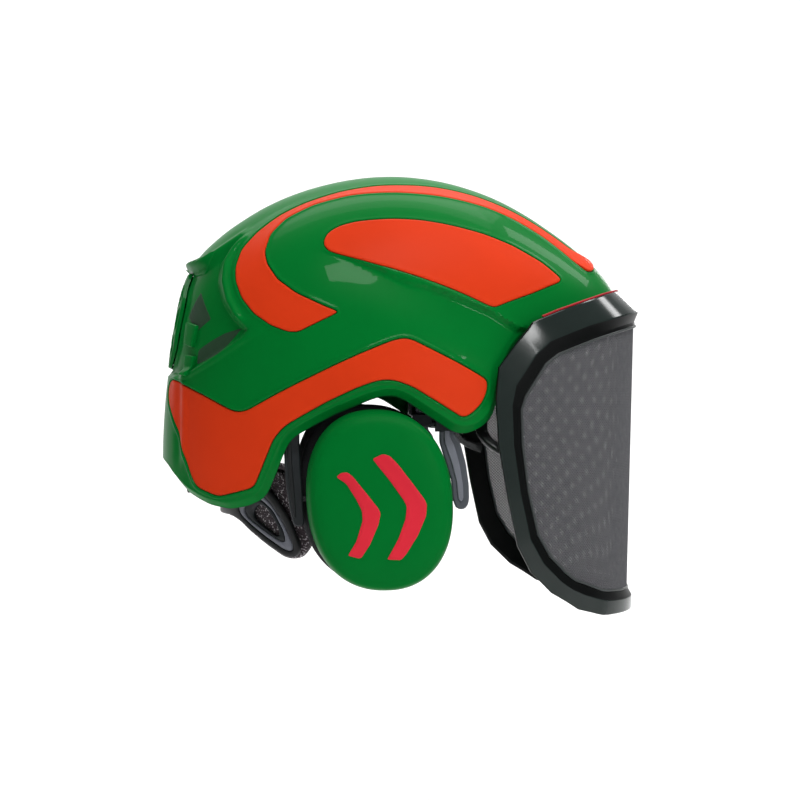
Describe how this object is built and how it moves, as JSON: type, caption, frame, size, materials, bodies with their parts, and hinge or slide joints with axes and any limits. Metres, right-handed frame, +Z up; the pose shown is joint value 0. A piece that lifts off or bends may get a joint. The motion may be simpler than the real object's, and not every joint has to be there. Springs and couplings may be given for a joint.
{
  "type": "forestry helmet",
  "caption": "Safety helmet with a ventilated hard shell, raised colour inlays, adjustable nape cradle, folding earmuffs and a swing-up mesh face visor.",
  "frame": {"origin": "centre of the head opening, level with the headband's lower edge at the ears", "axes": "+X forward out of the face opening, +Y to the wearer's left, +Z up"},
  "size_m": [0.2937, 0.238, 0.2635],
  "materials": {
    "shell_green": "gloss",
    "inlay_orange": "gloss",
    "trim_dark_green": "satin",
    "liner_foam": "matte",
    "pad_fabric": "woven",
    "cushion_black": "matte",
    "chevron_red": "satin",
    "mesh_grey": "satin",
    "grey_plastic": "satin",
    "gloss_black": "gloss",
    "black_plastic": "satin",
    "steel": "satin"
  },
  "bodies": {
    "helmet": {"outer_shell": "shell_green", "side_inlay_right": "inlay_orange", "side_inlay_left": "inlay_orange", "crest_inlay_right": "inlay_orange", "crest_inlay_left": "inlay_orange", "brow_inlay_right": "inlay_orange", "brow_inlay_left": "inlay_orange", "rear_vent_grille": "trim_dark_green", "shock_liner": "liner_foam", "crown_pad": "pad_fabric", "headband": "black_plastic", "sweatband": "pad_fabric", "strap_sleeve_right": "black_plastic", "strap_sleeve_left": "black_plastic", "hanger_front_right": "black_plastic", "hanger_front_left": "black_plastic", "hanger_rear_right": "black_plastic", "hanger_rear_left": "black_plastic", "visor_pivot_right": "black_plastic", "visor_pivot_left": "black_plastic", "muff_bracket_front_right": "black_plastic", "muff_bracket_front_left": "black_plastic", "muff_bracket_rear_right": "black_plastic", "muff_bracket_rear_left": "black_plastic"},
    "visor": {"visor_frame": "gloss_black", "visor_mesh": "mesh_grey", "mesh_bead": "grey_plastic", "visor_arm_right": "steel", "visor_arm_left": "steel"},
    "right_muff_hinge": {"muff_block_front_right": "black_plastic", "muff_block_rear_right": "black_plastic"},
    "right_muff_legs": {"muff_leg_front_right": "grey_plastic", "muff_leg_rear_right": "black_plastic"},
    "right_muff_cup": {"ear_cup_right": "shell_green", "cup_plate_right": "black_plastic", "cup_foam_right": "liner_foam", "ear_cushion_right": "cushion_black", "chevron_large_right": "chevron_red", "chevron_small_right": "chevron_red"},
    "left_muff_hinge": {"muff_block_front_left": "black_plastic", "muff_block_rear_left": "black_plastic"},
    "left_muff_legs": {"muff_leg_front_left": "grey_plastic", "muff_leg_rear_left": "black_plastic"},
    "left_muff_cup": {"ear_cup_left": "shell_green", "cup_plate_left": "black_plastic", "cup_foam_left": "liner_foam", "ear_cushion_left": "cushion_black", "chevron_large_left": "chevron_red", "chevron_small_left": "chevron_red"},
    "nape": {"nape_cradle": "grey_plastic", "nape_pad": "pad_fabric", "nape_strap_right": "black_plastic", "nape_strap_left": "black_plastic", "adjuster_housing": "black_plastic"},
    "size_knob": {"size_knob": "black_plastic", "adjuster_pinion": "black_plastic"}
  },
  "joints": [
    {"name": "visor_swing", "type": "hinge", "parent": "helmet", "child": "visor", "pos_m": [0.056, 0, 0.039], "axis": [0, -1, 0], "range_deg": [0, 72]},
    {"name": "right_muff_fold", "type": "hinge", "parent": "helmet", "child": "right_muff_hinge", "pos_m": [0, -0.0865, -0.0135], "axis": [-1, 0, 0], "range_deg": [0, 12]},
    {"name": "right_muff_height", "type": "slide", "parent": "right_muff_hinge", "child": "right_muff_legs", "axis": [0, 0, 1], "range_m": [-0.012, 0]},
    {"name": "right_cup_tilt", "type": "hinge", "parent": "right_muff_legs", "child": "right_muff_cup", "pos_m": [-0.006, -0.0865, -0.056], "axis": [1, 0, 0], "range_deg": [-8, 8]},
    {"name": "left_muff_fold", "type": "hinge", "parent": "helmet", "child": "left_muff_hinge", "pos_m": [0, 0.0865, -0.0135], "axis": [1, 0, 0], "range_deg": [0, 12]},
    {"name": "left_muff_height", "type": "slide", "parent": "left_muff_hinge", "child": "left_muff_legs", "axis": [0, 0, 1], "range_m": [-0.012, 0]},
    {"name": "left_cup_tilt", "type": "hinge", "parent": "left_muff_legs", "child": "left_muff_cup", "pos_m": [-0.006, 0.0865, -0.056], "axis": [1, 0, 0], "range_deg": [-8, 8]},
    {"name": "nape_size_slide", "type": "slide", "parent": "helmet", "child": "nape", "axis": [1, 0, 0], "range_m": [-0.006, 0.005]},
    {"name": "size_knob_turn", "type": "hinge", "parent": "nape", "child": "size_knob", "pos_m": [-0.11, 0, -0.042], "axis": [1, 0, 0], "range_deg": [-60, 60]}
  ],
  "couplings": [
    {"joint": "size_knob_turn", "follows": "nape_size_slide", "rad_per_m": 164}
  ]
}
